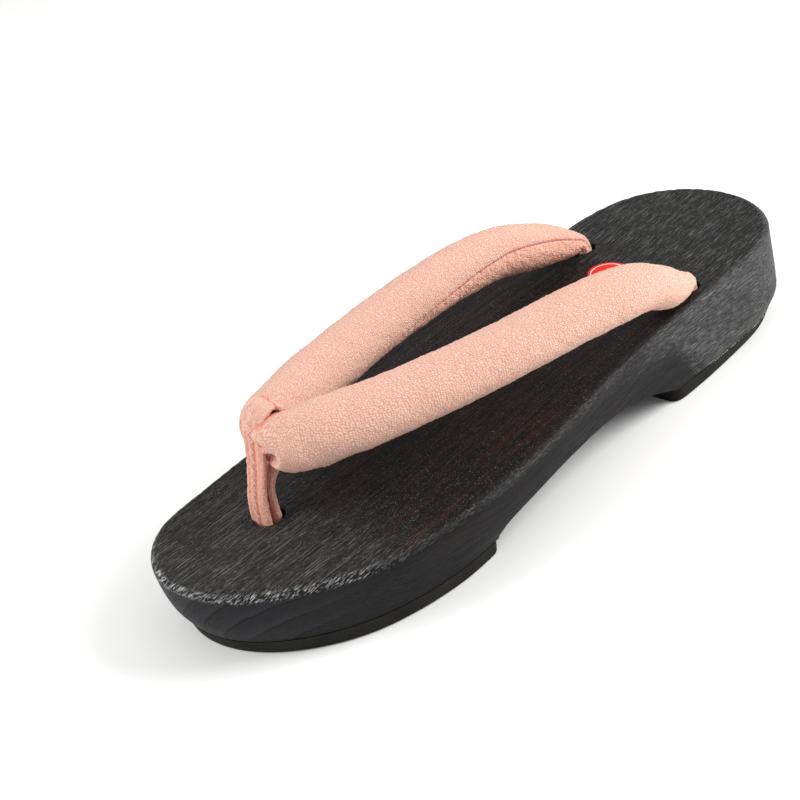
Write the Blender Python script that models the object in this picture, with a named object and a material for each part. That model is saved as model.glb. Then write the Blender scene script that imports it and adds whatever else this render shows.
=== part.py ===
"""Left-foot geta sandal: one block of wood on two rubber pads, held on by a
padded V-shaped strap and a toe loop.

Lengths in the tables are in millimetres and are turned to metres by MM.
+Y points to the toe, +X to the inner side of the foot, +Z up. The origin is
on the ground, under the middle of the wooden block.
"""
import math
from collections import namedtuple

import bmesh
import bpy
from mathutils import Vector

MM = 0.001
GAP = 0.3

# Wooden block, in plan
TOE_END = 124.9
HEEL_END = -124.3
TOE_ROUND_FROM = 70.0
HEEL_ROUND_FROM = -80.0
TOE_ROUND_POWER = 2.0
HEEL_ROUND_POWER = 2.8
END_FLAT = 0.10
END_STEPS = 11
MIDDLE_STEPS = 17
PlanRow = namedtuple("PlanRow", "y centre width")
PLAN = (
    PlanRow(-124.3, -2.1, 72.4),
    PlanRow(-80.0, -1.0, 74.1),
    PlanRow(-55.0, 0.5, 75.9),
    PlanRow(-26.0, 1.3, 79.3),
    PlanRow(-4.0, 0.6, 82.6),
    PlanRow(20.0, -0.5, 86.1),
    PlanRow(46.0, -0.6, 86.8),
    PlanRow(70.0, 1.0, 83.8),
    PlanRow(91.0, 3.2, 82.3),
    PlanRow(108.0, 7.5, 84.5),
    PlanRow(124.9, 9.6, 86.2),
)

# Wooden block, in height
TOE_HEIGHT = 24.6
HEEL_RISE = 9.7
SWELL_HEIGHT = 2.2
SWELL_REACH = 75.0
TOP_EDGE_RADIUS = 3.0
TOP_EDGE_BENDS = 3

# Wall of the block: how far it stands inside the widest line, at its foot
# and at the height where it bulges most, and how much narrower the rubber is
# at the ground
BULGE_HEIGHT = 11.5
WallRow = namedtuple("WallRow", "y foot bulge taper")
WALL = (
    WallRow(-124.3, 1.8, -0.85, 1.6),
    WallRow(-95.0, 2.0, -0.6, 2.1),
    WallRow(-70.0, 0.9, -0.3, 1.1),
    WallRow(-52.0, 0.6, 0.3, 0.5),
    WallRow(-20.0, 3.4, 1.9, 0.8),
    WallRow(5.0, 5.7, 2.8, 0.8),
    WallRow(30.0, 6.7, 3.3, 0.8),
    WallRow(45.4, 7.0, 3.5, 0.9),
    WallRow(60.0, 5.0, 3.1, 0.8),
    WallRow(80.0, 4.7, 2.7, 0.8),
    WallRow(105.0, 4.2, 2.2, 0.8),
    WallRow(124.9, 5.2, 2.0, 1.7),
)

# Arch cut away under the waist, between the two rubber pads. In front it ends
# in a lip that turns down quickly.
ARCH_FRONT = 45.4
ARCH_CROWN = 12.0
ARCH_REAR = -45.0
ARCH_CROWN_HEIGHT = 16.5
ARCH_FRONT_DROP = 6.1
ARCH_FRONT_POWER = 2.0
ARCH_LIP = 3.4
ARCH_LIP_POWER = 24.0
ARCH_REAR_POWER = 2.35
ARCH_STEPS = 20
ARCH_CUTTER_HALF_WIDTH = 60.0
ARCH_CUTTER_BOTTOM = -5.0
ARCH_LEAST_CUT = 0.02

# Rubber pads: "narrowing" is the share of the pad's taper, "easing" the
# rounding of its lower edge
PAD_THICKNESS = 5.0
WOOD_BOTTOM = PAD_THICKNESS + GAP
PadRow = namedtuple("PadRow", "z narrowing easing")
PAD = (
    PadRow(0.0, 1.0, 0.8),
    PadRow(0.25, 0.95, 0.25),
    PadRow(0.8, 0.84, 0.0),
    PadRow(PAD_THICKNESS, 0.0, 0.0),
)
PAD_CUT_MARGIN = 1.0

# Holes that the straps go down into
TOE_HOLE = (10.6, 87.6)
OUTER_HOLE = (-30.0, -67.2)
INNER_HOLE = (19.3, -75.8)
TOE_HOLE_RADIUS = 4.9
REAR_HOLE_RADIUS = 3.85
REAR_HOLE_DEPTH = 15.0
DRILL_SIDES = 24
DRILL_TOP = 60.0

# One arm of the padded strap, from its front end to its hole. "along" is the
# share of the way, "spread" the distance from the line between the front end
# and the middle of the rear holes, and "lift" the height of the arm's middle
# above the top face.
OUTER_FRONT = (10.6, 85.0)
INNER_FRONT = (8.8, 82.0)
ArmRow = namedtuple("ArmRow", "along spread lift width height")
ARM = (
    ArmRow(0.000, 5.6, 23.0, 5.0, 6.0),
    ArmRow(0.007, 5.9, 23.0, 11.0, 12.5),
    ArmRow(0.022, 6.4, 22.8, 15.5, 16.6),
    ArmRow(0.050, 7.9, 22.4, 18.0, 18.8),
    ArmRow(0.100, 10.6, 21.9, 19.6, 19.2),
    ArmRow(0.190, 15.4, 21.1, 20.8, 18.4),
    ArmRow(0.320, 20.8, 20.0, 21.0, 17.4),
    ArmRow(0.460, 24.9, 18.7, 21.0, 17.0),
    ArmRow(0.600, 27.5, 17.3, 21.0, 17.0),
    ArmRow(0.740, 29.0, 15.0, 20.4, 16.4),
    ArmRow(0.830, 28.4, 11.1, 18.4, 14.4),
    ArmRow(0.900, 27.0, 7.4, 14.6, 11.2),
    ArmRow(0.950, 25.8, 5.4, 10.4, 8.0),
    ArmRow(0.988, 25.0, 3.2, 7.6, 6.4),
    ArmRow(1.000, 24.65, -0.8, 6.6, 6.2),
    ArmRow(1.000, 24.65, -7.5, 6.2, 6.2),
)
ARM_STEPS = 3
ARM_SIDES = 20
ARM_TURN_LIMIT = 0.4

# Toe loop: a folded strip that goes up in front of the strap, over it and
# down behind it, both ends in the toe hole. "back" is the distance behind
# the middle of the hole.
LOOP_THICKNESS = 2.0
LoopRow = namedtuple("LoopRow", "back z width")
LOOP = (
    LoopRow(-1.7, 9.0, 5.0),
    LoopRow(-1.9, 20.0, 5.2),
    LoopRow(-2.1, 26.0, 5.6),
    LoopRow(-1.5, 33.0, 6.6),
    LoopRow(0.4, 40.0, 7.4),
    LoopRow(2.1, 47.0, 7.8),
    LoopRow(3.2, 54.0, 8.0),
    LoopRow(5.2, 58.0, 8.0),
    LoopRow(8.4, 59.0, 8.0),
    LoopRow(10.7, 56.6, 8.0),
    LoopRow(11.2, 51.0, 7.6),
    LoopRow(10.4, 45.0, 7.2),
    LoopRow(7.4, 40.2, 7.0),
    LoopRow(3.8, 36.6, 6.4),
    LoopRow(2.3, 32.0, 6.0),
    LoopRow(2.0, 26.0, 5.4),
    LoopRow(1.9, 20.0, 5.2),
    LoopRow(1.7, 9.0, 5.0),
)
LOOP_STEPS = 2
LOOP_CORNER = 0.7
LOOP_CLEARANCE = 0.35


def clear_scene():
    for old in list(bpy.data.objects):
        bpy.data.objects.remove(old, do_unlink=True)


def make_collection(name):
    collection = bpy.data.collections.new(name)
    bpy.context.scene.collection.children.link(collection)
    return collection


def make_material(name, colour, roughness):
    material = bpy.data.materials.new(name)
    material.use_nodes = True
    shader = material.node_tree.nodes["Principled BSDF"]
    shader.inputs["Base Color"].default_value = (*colour, 1.0)
    shader.inputs["Roughness"].default_value = roughness
    shader.inputs["Metallic"].default_value = 0.0
    return material


def smooth_between(before, start, end, after, share):
    """Catmull-Rom value between start and end, for numbers and vectors."""
    s2 = share * share
    s3 = s2 * share
    return 0.5 * (
        2.0 * start
        + (end - before) * share
        + (2.0 * before - 5.0 * start + 4.0 * end - after) * s2
        + (3.0 * start - before - 3.0 * end + after) * s3
    )


def table_rows(rows, steps):
    """The table's rows, with smooth rows put in between."""
    knots = [Vector(row) for row in rows]
    make_row = type(rows[0])
    result = []
    for index in range(len(knots) - 1):
        before = knots[max(index - 1, 0)]
        after = knots[min(index + 2, len(knots) - 1)]
        for step in range(steps):
            value = smooth_between(before, knots[index], knots[index + 1], after, step / steps)
            result.append(make_row(*value))
    result.append(rows[-1])
    return result


def read_table(rows, y):
    """The other columns of a table whose first column is y, smooth in y."""
    knots = [Vector(row) for row in rows]
    index = 0
    while index < len(knots) - 2 and y > knots[index + 1][0]:
        index += 1
    share = (y - knots[index][0]) / (knots[index + 1][0] - knots[index][0])
    before = knots[max(index - 1, 0)]
    after = knots[min(index + 2, len(knots) - 1)]
    return smooth_between(before, knots[index], knots[index + 1], after, share)[1:]


def top_height(y):
    """Height of the top face: it rises to the heel, with a low swell under the waist."""
    share = (TOE_END - y) / (TOE_END - HEEL_END)
    height = TOE_HEIGHT + HEEL_RISE * share * share
    if abs(y) < SWELL_REACH:
        height += SWELL_HEIGHT * math.cos(0.5 * math.pi * y / SWELL_REACH) ** 2
    return height


def wall_at(y):
    return WallRow(y, *read_table(WALL, min(max(y, HEEL_END), TOE_END)))


def end_rounding(y):
    """Share of the full width that is left where the toe or heel rounds off."""
    if y > TOE_ROUND_FROM:
        part = (y - TOE_ROUND_FROM) / (TOE_END - TOE_ROUND_FROM)
        return math.sqrt(max(1.0 - part ** TOE_ROUND_POWER, END_FLAT ** 2))
    if y < HEEL_ROUND_FROM:
        part = (HEEL_ROUND_FROM - y) / (HEEL_ROUND_FROM - HEEL_END)
        return math.sqrt(max(1.0 - part ** HEEL_ROUND_POWER, END_FLAT ** 2))
    return 1.0


def stations():
    """Places along the sandal, closer together where the ends round off."""
    places = []
    for step in range(END_STEPS, 0, -1):
        reach = math.sin(0.5 * math.pi * step / END_STEPS)
        places.append(HEEL_ROUND_FROM + (HEEL_END - HEEL_ROUND_FROM) * reach)
    for step in range(MIDDLE_STEPS + 1):
        places.append(HEEL_ROUND_FROM + (TOE_ROUND_FROM - HEEL_ROUND_FROM) * step / MIDDLE_STEPS)
    for step in range(1, END_STEPS + 1):
        reach = math.sin(0.5 * math.pi * step / END_STEPS)
        places.append(TOE_ROUND_FROM + (TOE_END - TOE_ROUND_FROM) * reach)
    return places


def plan_ring():
    """The widest outline in plan: up the outer side, back down the inner."""
    outer = []
    inner = []
    for y in stations():
        centre, width = read_table(PLAN, y)
        half = 0.5 * width * end_rounding(y)
        outer.append(Vector((centre - half, y)))
        inner.append(Vector((centre + half, y)))
    return outer + inner[::-1]


def inset_ring(ring, distance):
    """The ring moved inwards, by a length or by a function of y."""
    moved = []
    count = len(ring)
    for index, point in enumerate(ring):
        back = (point - ring[index - 1]).normalized()
        ahead = (ring[(index + 1) % count] - point).normalized()
        first = Vector((back.y, -back.x))
        second = Vector((ahead.y, -ahead.x))
        across = (first + second).normalized()
        depth = distance(point.y) if callable(distance) else distance
        moved.append(point + across * (depth / max(across.dot(first), 0.5)))
    return moved


def at_height(ring, height):
    """The plan ring in space, at a height or at a function of y."""
    result = []
    for point in ring:
        z = height(point.y) if callable(height) else height
        result.append(Vector((point.x, point.y, z)))
    return result


def loft(name, rings, material, collection):
    """One closed solid through the rings, each end closed rung by rung."""
    count = len(rings[0])
    mesh = bpy.data.meshes.new(name)
    build = bmesh.new()
    grid = []
    for ring in rings:
        grid.append([build.verts.new(point * MM) for point in ring])
    for lower, upper in zip(grid, grid[1:]):
        for index in range(count):
            after = (index + 1) % count
            build.faces.new((lower[index], lower[after], upper[after], upper[index]))
    for ring in (grid[0], grid[-1]):
        for index in range(count // 2 - 1):
            far = count - 1 - index
            build.faces.new((ring[index], ring[index + 1], ring[far - 1], ring[far]))
    bmesh.ops.recalc_face_normals(build, faces=build.faces)
    build.to_mesh(mesh)
    build.free()
    mesh.materials.append(material)
    mesh.shade_smooth()
    mesh.set_sharp_from_angle(angle=math.radians(35.0))
    made = bpy.data.objects.new(name, mesh)
    collection.objects.link(made)
    return made


def add_boolean(target, other, operation):
    modifier = target.modifiers.new(operation.title() + " " + other.name, "BOOLEAN")
    modifier.operation = operation
    modifier.object = other
    modifier.solver = "EXACT"


def hide_cutter(cutter):
    cutter.hide_render = True
    cutter.display_type = "WIRE"


def add_drill(name, place, radius, bottom, cutters):
    """An upright cylinder that cuts a strap hole down to a given height."""
    bpy.ops.mesh.primitive_cylinder_add(
        vertices=DRILL_SIDES,
        radius=radius * MM,
        depth=(DRILL_TOP - bottom) * MM,
        location=(place[0] * MM, place[1] * MM, 0.5 * (DRILL_TOP + bottom) * MM),
    )
    drill = bpy.context.object
    drill.name = name
    for collection in list(drill.users_collection):
        collection.objects.unlink(drill)
    cutters.objects.link(drill)
    hide_cutter(drill)
    return drill


def arch_height(y):
    """Height of the carved underside: steeper in front, long towards the heel."""
    if y > ARCH_CROWN:
        part = (y - ARCH_CROWN) / (ARCH_FRONT - ARCH_CROWN)
        drop = ARCH_FRONT_DROP * part ** ARCH_FRONT_POWER + ARCH_LIP * part ** ARCH_LIP_POWER
    else:
        part = (ARCH_CROWN - y) / (ARCH_CROWN - ARCH_REAR)
        drop = (ARCH_CROWN_HEIGHT - WOOD_BOTTOM) * part ** ARCH_REAR_POWER
    return ARCH_CROWN_HEIGHT - drop


def add_arch_cutter(material, cutters):
    """The bar that carves the waist: sections along Y, wider than the sandal
    and closer together at its two ends."""
    half = ARCH_CUTTER_HALF_WIDTH
    rings = []
    for step in range(ARCH_STEPS + 1):
        share = 0.5 - 0.5 * math.cos(math.pi * step / ARCH_STEPS)
        y = ARCH_REAR + (ARCH_FRONT - ARCH_REAR) * share
        top = max(arch_height(y), WOOD_BOTTOM + ARCH_LEAST_CUT)
        rings.append([
            Vector((-half, y, ARCH_CUTTER_BOTTOM)),
            Vector((-half, y, top)),
            Vector((half, y, top)),
            Vector((half, y, ARCH_CUTTER_BOTTOM)),
        ])
    cutter = loft("arch_cutter", rings, material, cutters)
    hide_cutter(cutter)
    return cutter


def add_wood(material, parts, cutters):
    outline = plan_ring()
    rings = [
        at_height(inset_ring(outline, lambda y: wall_at(y).foot), WOOD_BOTTOM),
        at_height(inset_ring(outline, lambda y: wall_at(y).bulge), BULGE_HEIGHT),
        at_height(outline, lambda y: top_height(y) - TOP_EDGE_RADIUS),
    ]
    for step in range(1, TOP_EDGE_BENDS + 1):
        angle = 0.5 * math.pi * step / TOP_EDGE_BENDS
        inward = TOP_EDGE_RADIUS * (1.0 - math.cos(angle))
        drop = TOP_EDGE_RADIUS * (1.0 - math.sin(angle))
        rings.append(at_height(inset_ring(outline, inward), lambda y, d=drop: top_height(y) - d))
    wood = loft("wood_base", rings, material, parts)
    add_boolean(wood, add_arch_cutter(material, cutters), "DIFFERENCE")
    drills = (
        ("toe_drill", TOE_HOLE, TOE_HOLE_RADIUS, ARCH_CUTTER_BOTTOM),
        ("outer_drill", OUTER_HOLE, REAR_HOLE_RADIUS, top_height(OUTER_HOLE[1]) - REAR_HOLE_DEPTH),
        ("inner_drill", INNER_HOLE, REAR_HOLE_RADIUS, top_height(INNER_HOLE[1]) - REAR_HOLE_DEPTH),
    )
    for name, place, radius, bottom in drills:
        add_boolean(wood, add_drill(name, place, radius, bottom, cutters), "DIFFERENCE")
    return wood


def pad_ring(cut, forward, row):
    """One level of a pad: the foot of the wall on one side of a straight cut."""
    plan = plan_ring()

    def depth(y):
        wall = wall_at(y)
        return wall.foot + wall.taper * row.narrowing + row.easing

    level = inset_ring(plan, depth)
    way = 1 if forward else -1
    line = cut + way * row.easing
    last = len(level) - 1
    kept = [i for i in range(len(level) // 2) if (plan[i].y - cut) * way > PAD_CUT_MARGIN]
    beside = kept[0] if forward else kept[-1]
    beyond = beside - way
    outer = [level[i] for i in kept]
    inner = [level[last - i] for i in kept]
    corners = []
    for first, second in ((beside, beyond), (last - beside, last - beyond)):
        share = (line - level[first].y) / (level[second].y - level[first].y)
        corners.append(level[first].lerp(level[second], share))
    if forward:
        return [corners[0]] + outer + inner[::-1] + [corners[1]]
    return outer + corners + inner[::-1]


def add_pad(name, cut, forward, material, parts):
    """A rubber pad, flush with the foot of the wood, before or behind a cut."""
    rings = [at_height(pad_ring(cut, forward, row), row.z) for row in PAD]
    return loft(name, rings, material, parts)


def arm_sections(front, hole):
    """Oval sections of one padded arm, square to its path."""
    rear_mid = 0.5 * (OUTER_HOLE[0] + INNER_HOLE[0])
    side = math.copysign(1.0, hole[0] - rear_mid)
    rows = table_rows(ARM, ARM_STEPS)
    centres = []
    for row in rows:
        along = min(row.along, 1.0)
        y = front[1] + (hole[1] - front[1]) * along
        line = front[0] + (rear_mid - front[0]) * along
        centres.append(Vector((line + side * row.spread, y, top_height(y) + row.lift)))
    rings = []
    across = Vector((side, 0.0, 0.0))
    for index, row in enumerate(rows):
        ahead = centres[min(index + 1, len(rows) - 1)] - centres[max(index - 1, 0)]
        level = Vector((ahead.y, -ahead.x, 0.0))
        if level.length > ARM_TURN_LIMIT:
            across = level.normalized()
        upright = across.cross(ahead.normalized()).normalized()
        ring = []
        for step in range(ARM_SIDES):
            angle = 2.0 * math.pi * (step + 0.5) / ARM_SIDES
            reach = across * (0.5 * row.width * math.cos(angle))
            ring.append(centres[index] + reach + upright * (0.5 * row.height * math.sin(angle)))
        rings.append(ring)
    return rings


def loop_sections(extra):
    """Sections of the toe loop's strip, made larger all round by extra."""
    rows = table_rows(LOOP, LOOP_STEPS)
    centres = [Vector((TOE_HOLE[0], TOE_HOLE[1] - row.back, row.z)) for row in rows]
    rings = []
    for index, row in enumerate(rows):
        ahead = centres[min(index + 1, len(rows) - 1)] - centres[max(index - 1, 0)]
        across = Vector((1.0, 0.0, 0.0))
        outward = across.cross(ahead.normalized())
        half = 0.5 * row.width + extra
        thick = 0.5 * LOOP_THICKNESS + extra
        ring = []
        for x, z in (
            (half, -thick + LOOP_CORNER),
            (half, thick - LOOP_CORNER),
            (half - LOOP_CORNER, thick),
            (-half + LOOP_CORNER, thick),
            (-half, thick - LOOP_CORNER),
            (-half, -thick + LOOP_CORNER),
            (-half + LOOP_CORNER, -thick),
            (half - LOOP_CORNER, -thick),
        ):
            ring.append(centres[index] + across * x + outward * z)
        rings.append(ring)
    return rings


def add_strap(material, parts, cutters):
    """Both arms in one piece, with room left for the loop where they join."""
    strap = loft("strap", arm_sections(OUTER_FRONT, OUTER_HOLE), material, parts)
    other = loft("inner_arm", arm_sections(INNER_FRONT, INNER_HOLE), material, cutters)
    hide_cutter(other)
    add_boolean(strap, other, "UNION")
    room = loft("loop_room", loop_sections(LOOP_CLEARANCE), material, cutters)
    hide_cutter(room)
    add_boolean(strap, room, "DIFFERENCE")
    return strap


def main():
    clear_scene()
    parts = make_collection("geta_sandal")
    cutters = make_collection("cutters")
    wood = make_material("charred_wood", (0.018, 0.016, 0.016), 0.6)
    rubber = make_material("sole_rubber", (0.024, 0.022, 0.018), 0.8)
    crepe = make_material("strap_crepe", (0.87, 0.45, 0.33), 0.85)
    strip = make_material("loop_crepe", (0.84, 0.36, 0.25), 0.85)
    add_wood(wood, parts, cutters)
    add_pad("toe_rubber_sole", ARCH_FRONT, True, rubber, parts)
    add_pad("heel_rubber_sole", ARCH_REAR, False, rubber, parts)
    add_strap(crepe, parts, cutters)
    loft("toe_loop", loop_sections(0.0), strip, parts)


main()
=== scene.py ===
"""Left-foot geta sandal: its looks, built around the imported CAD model.

Lengths in the tables are in millimetres and MM turns them to metres. +Y
points to the toe, +X to the inner side of the foot, +Z up.
"""

import math
from functools import partial

import bmesh
import bpy
import numpy as np
from bpy.props import FloatProperty, FloatVectorProperty, PointerProperty
from mathutils import Matrix, Vector


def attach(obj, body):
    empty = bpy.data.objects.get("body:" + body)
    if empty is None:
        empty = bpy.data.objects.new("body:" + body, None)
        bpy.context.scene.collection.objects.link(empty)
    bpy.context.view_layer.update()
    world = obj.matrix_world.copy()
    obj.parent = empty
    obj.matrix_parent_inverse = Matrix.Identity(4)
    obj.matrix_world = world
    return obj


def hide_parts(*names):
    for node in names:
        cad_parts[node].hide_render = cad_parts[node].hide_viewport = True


bl_info = {
    "name": "Geta sandal",
    "version": (1, 0, 0),
    "blender": (4, 5, 0),
    "location": "3D View > Sidebar > Geta",
    "description": "Makes the pieces, materials and studio of a left-foot geta sandal",
    "category": "Object",
}

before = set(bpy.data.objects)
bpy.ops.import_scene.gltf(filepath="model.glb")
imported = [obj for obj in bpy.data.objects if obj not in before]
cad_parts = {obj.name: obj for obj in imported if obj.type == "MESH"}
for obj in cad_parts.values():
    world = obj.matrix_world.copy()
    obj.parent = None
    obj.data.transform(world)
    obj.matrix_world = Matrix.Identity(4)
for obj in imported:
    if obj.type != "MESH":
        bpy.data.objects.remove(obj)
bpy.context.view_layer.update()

MM = 0.001

# Camera, found from the photograph's 800 x 800 frame
IMAGE_SIDE = 800.0
FOCAL_PIXELS = 1707.2
SENSOR_WIDTH = 36.0
CAMERA_PLACE = (-336.4, 322.2, 290.9)
CAMERA_TURN = 229.844
CAMERA_RISE = 29.756
CAMERA_ROLL = -12.895

# Studio, in metres: reach of the floor each way, and width of the softboxes
FLOOR_REACH = 3.0
SOFTBOX_SIZE = 0.7

# Plan of the block
TOE_END = 124.9
HEEL_END = -124.3
TOE_ROUND_FROM = 70.0
HEEL_ROUND_FROM = -80.0
TOE_ROUND_POWER = 2.0
HEEL_ROUND_POWER = 2.8
PLAN = {
    "y": (-124.3, -80.0, -55.0, -26.0, -4.0, 20.0, 46.0, 70.0, 91.0, 108.0, 124.9),
    "centre": (-2.1, -1.0, 0.5, 1.3, 0.6, -0.5, -0.6, 1.0, 3.2, 7.5, 9.6),
    "width": (72.4, 74.1, 75.9, 79.3, 82.6, 86.1, 86.8, 83.8, 82.3, 84.5, 86.2),
}

# Wall of the block and of the rubber under it
TOE_HEIGHT = 24.6
HEEL_RISE = 9.7
SWELL_HEIGHT = 2.2
SWELL_REACH = 75.0
WOOD_BOTTOM = 5.3
BULGE_HEIGHT = 11.5
WALL = {
    "y": (-124.3, -95.0, -70.0, -52.0, -20.0, 5.0, 30.0, 45.4, 60.0, 80.0, 105.0, 124.9),
    "foot": (1.8, 2.0, 0.9, 0.6, 3.4, 5.7, 6.7, 7.0, 5.0, 4.7, 4.2, 5.2),
    "bulge": (-0.85, -0.6, -0.3, 0.3, 1.9, 2.8, 3.3, 3.5, 3.1, 2.7, 2.2, 2.0),
    "taper": (1.6, 2.1, 1.1, 0.5, 0.8, 0.8, 0.8, 0.9, 0.8, 0.8, 0.8, 1.7),
}
PAD_TOP = 5.0
# rounding of the pads' corners at the arch, and where the heel's joint shows glue
PAD_CORNERS = {"toe_pad": 1.0, "heel_pad": 2.2}
GLUE_ALONG = (-118.0, -62.0)
GLUE_CRUMB = {"spacing": 1.15, "length": 0.24, "radius": 0.13, "unevenness": 0.75}

# Arch under the waist
ARCH_FRONT = 45.4
ARCH_CROWN = 12.0
ARCH_REAR = -45.0
ARCH_CROWN_HEIGHT = 16.5
ARCH_FRONT_DROP = 6.1
ARCH_FRONT_POWER = 2.0
ARCH_REAR_POWER = 2.35
ARCH_LIP = 3.4
ARCH_LIP_POWER = 24.0
ARCH_END_STEPS = (-2.2, -1.2, -0.5, -0.02, 0.02, 0.5, 1.2, 2.2)

# Strap holes: place in plan, radius and the height of the bottom
HOLES = {
    "toe": ((10.6, 87.6), 4.9, 2.0),
    "outer": ((-29.3, -67.1), 3.2, 15.5),
    "inner": ((20.0, -75.6), 3.2, 16.0),
}

# Padded arms of the strap, from the front end to the rear hole
OUTER_FRONT = (10.6, 85.6)
INNER_FRONT = (8.8, 82.0)
REAR_MIDDLE = -5.35
ARM_ALONG = (
    -0.008, -0.0065, -0.002, 0.006, 0.025, 0.055, 0.1, 0.19, 0.32,
    0.46, 0.6, 0.74, 0.83, 0.9, 0.948, 0.978, 0.991, 0.994)
OUTER_ARM = {
    "row": tuple(range(18)),
    "along": ARM_ALONG,
    "spread": (
        5.6, 5.6, 5.7, 5.9, 6.5, 8.1, 10.6, 15.4, 20.8,
        24.9, 27.5, 29.0, 28.4, 27.0, 25.8, 24.7, 23.9, 23.8),
    "lift": (
        24.6, 24.6, 25.0, 24.9, 24.2, 23.2, 22.5, 21.9, 20.8,
        19.5, 18.6, 17.0, 13.7, 8.0, 5.0, 3.3, -0.9, -7.6),
    "width": (
        1.0, 6.0, 12.0, 16.0, 17.6, 18.6, 19.6, 20.6, 20.6,
        20.6, 20.6, 20.2, 18.6, 15.6, 11.4, 8.0, 6.0, 5.4),
    "height": (
        1.0, 6.0, 10.8, 13.8, 16.4, 18.6, 19.2, 18.0, 17.0,
        16.6, 16.6, 16.2, 14.6, 13.6, 9.4, 6.6, 6.0, 5.4),
}
INNER_ARM = {
    "row": tuple(range(18)),
    "along": ARM_ALONG,
    "spread": (
        4.6, 4.6, 4.8, 5.0, 6.2, 8.4, 11.4, 16.2, 21.4,
        25.3, 27.8, 29.0, 28.4, 27.2, 26.2, 25.7, 25.4, 25.4),
    "lift": (
        23.0, 23.0, 23.0, 23.0, 23.0, 23.0, 22.8, 22.1, 20.5,
        19.2, 18.1, 16.4, 12.8, 9.1, 5.8, 3.6, -0.8, -7.5),
    "width": (
        1.0, 5.0, 9.5, 13.0, 16.0, 17.6, 18.6, 19.6, 19.8,
        20.0, 20.2, 20.0, 18.4, 14.8, 10.8, 7.6, 5.8, 5.4),
    "height": (
        1.0, 7.0, 13.5, 17.0, 17.8, 18.0, 17.6, 16.8, 16.0,
        15.8, 16.2, 16.4, 16.2, 13.6, 10.2, 6.8, 5.8, 5.4),
}
# Seam of an arm: its angle round the section, from the side that faces out
SEAM = {
    "along": (0.0, 0.25, 0.45, 0.7, 0.9, 1.0),
    "angle": (228.0, 208.0, 193.0, 166.0, 152.0, 150.0),
}

# Middle line in plan that each arm keeps to its own side of: half the gap left,
# and how far from the line an arm begins to flatten
JOIN_LINE = ((9.7, 84.0), (REAR_MIDDLE, -71.5))
JOIN_GAP = 0.06
JOIN_REACH = 1.6

# Groove of the seam, the spacings of the gathers beside it, the pleats round an
# arm's tip, and how firmly the arms are stuffed
SEAM_HALF_WIDTH = 0.38
GATHERS = (2.2, 3.5)
TIP_PLEATS = 9
ARM_FILL = 0.85
ARM_ROWS = 420
ARM_AROUND = 150
SEAM_STITCH = {"spacing": 2.1, "length": 0.62, "radius": 0.14, "unevenness": 0.1}

# Toe loop: distance behind the middle of the hole, height and width
LOOP = {
    "row": tuple(range(18)),
    "back": (
        -1.7, -2.3, -2.6, -1.9, 0.2, 1.8, 3.0, 5.2, 8.4,
        10.7, 11.2, 10.4, 7.0, 3.4, 2.1, 1.9, 1.8, 1.7),
    "z": (
        9.0, 20.0, 26.0, 33.0, 40.0, 47.0, 53.4, 57.2, 58.3,
        56.6, 51.0, 45.0, 40.2, 36.6, 32.0, 26.0, 20.0, 9.0),
    "width": (5.0, 7.0, 8.2, 7.6, 7.5, 7.8, 8.5, 9.4, 9.8, 9.6, 8.8, 7.2, 6.6, 6.0, 5.6, 5.8, 5.8, 5.0),
}
LOOP_STITCH = {"spacing": 0.8, "length": 0.38, "radius": 0.11, "unevenness": 0.5}

STICKER_PLACE = (2.0, -64.4)

# Faces of the block
UNDERSIDE, SIDE, TOP = 0, 1, 2

# Kinds of node that the materials use most, and settings that recur
NOISE = "ShaderNodeTexNoise"
RANGE = "ShaderNodeMapRange"
MATH = "ShaderNodeMath"
VECTOR_MATH = "ShaderNodeVectorMath"
MIX = "ShaderNodeMix"
MAPPING = "ShaderNodeMapping"
ATTRIBUTE = "ShaderNodeAttribute"
BUMP = "ShaderNodeBump"
RGBA = {"data_type": "RGBA"}
TIMES = {"operation": "MULTIPLY"}
PLUS = {"operation": "ADD"}
TIMES_PLUS = {"operation": "MULTIPLY_ADD"}


def linear(text):
    """Linear colour of an sRGB hex value."""
    parts = [int(text[i:i + 2], 16) / 255.0 for i in (1, 3, 5)]
    return tuple(v / 12.92 if v <= 0.04045 else ((v + 0.055) / 1.055) ** 2.4 for v in parts)


def fill(node, inputs):
    """Fills a node's inputs, or links them where another node's output is given."""
    for key, value in inputs.items() if isinstance(inputs, dict) else enumerate(inputs):
        socket = node.inputs[key]
        if isinstance(value, bpy.types.NodeSocket):
            node.id_data.links.new(value, socket)
        elif socket.type == "RGBA":
            socket.default_value = (*(linear(value) if isinstance(value, str) else value), 1.0)
        else:
            socket.default_value = value


def add_node(tree, kind, inputs=(), output=0, **settings):
    """Adds a node with its settings and inputs, and gives one of its outputs."""
    node = tree.nodes.new(kind)
    for name, value in settings.items():
        setattr(node, name, value)
    fill(node, inputs)
    return node.outputs[output] if node.outputs else node


def spline(knots, values):
    """Smooth curve through the knots, as a function of an array."""
    x = np.asarray(knots, float)
    y = np.asarray(values, float)
    gap = np.diff(x)
    system = np.eye(len(x))
    right = np.zeros(len(x))
    for i in range(1, len(x) - 1):
        system[i, i - 1:i + 2] = gap[i - 1], 2.0 * (gap[i - 1] + gap[i]), gap[i]
        right[i] = 6.0 * ((y[i + 1] - y[i]) / gap[i] - (y[i] - y[i - 1]) / gap[i - 1])
    bend = np.linalg.solve(system, right)

    def value(at):
        at = np.clip(at, x[0], x[-1])
        i = np.clip(np.searchsorted(x, at) - 1, 0, len(x) - 2)
        a = x[i + 1] - at
        b = at - x[i]
        h = gap[i]
        cubic = (bend[i] * a ** 3 + bend[i + 1] * b ** 3) / (6.0 * h)
        return cubic + (y[i] / h - bend[i] * h / 6.0) * a + (y[i + 1] / h - bend[i + 1] * h / 6.0) * b

    return value


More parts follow.
